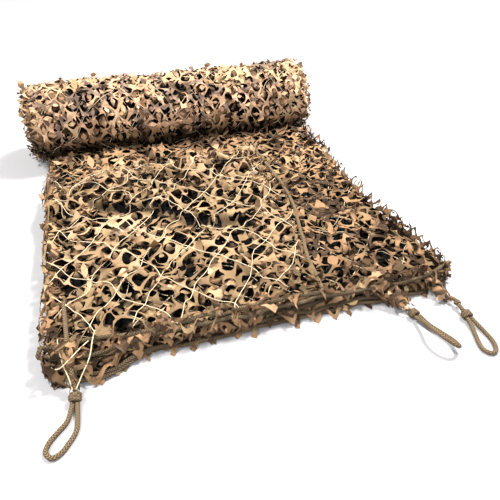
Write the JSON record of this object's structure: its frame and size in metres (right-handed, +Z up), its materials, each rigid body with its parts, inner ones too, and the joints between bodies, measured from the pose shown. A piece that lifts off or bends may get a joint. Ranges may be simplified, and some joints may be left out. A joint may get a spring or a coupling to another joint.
{
  "type": "camouflage netting, partly unrolled",
  "caption": "Folded and rolled camouflage net with its loose end laid out, a rope border and tie loops at its front corners.",
  "frame": {"origin": "on the floor under the middle of the net, without its tie leads, knots and loops", "axes": "+X along the roll to its right end seen from the loose end, +Y from the loose end to the roll, +Z up"},
  "size_m": [0.8176, 1.1736, 0.219],
  "materials": {
    "wound_scrim": "matte",
    "scrim": "matte",
    "rope": "matte"
  },
  "bodies": {
    "root": {"netting_roll": "wound_scrim", "laid_netting": "scrim", "border_rope": "rope", "left_tie_lead": "rope", "left_tie_knot": "rope", "left_tie_loop": "rope", "middle_tie_lead": "rope", "middle_tie_knot": "rope", "middle_tie_loop": "rope", "right_tie_lead": "rope", "right_tie_small_knot": "rope", "right_tie_link": "rope", "right_tie_knot": "rope", "right_tie_loop": "rope"}
  },
  "joints": []
}
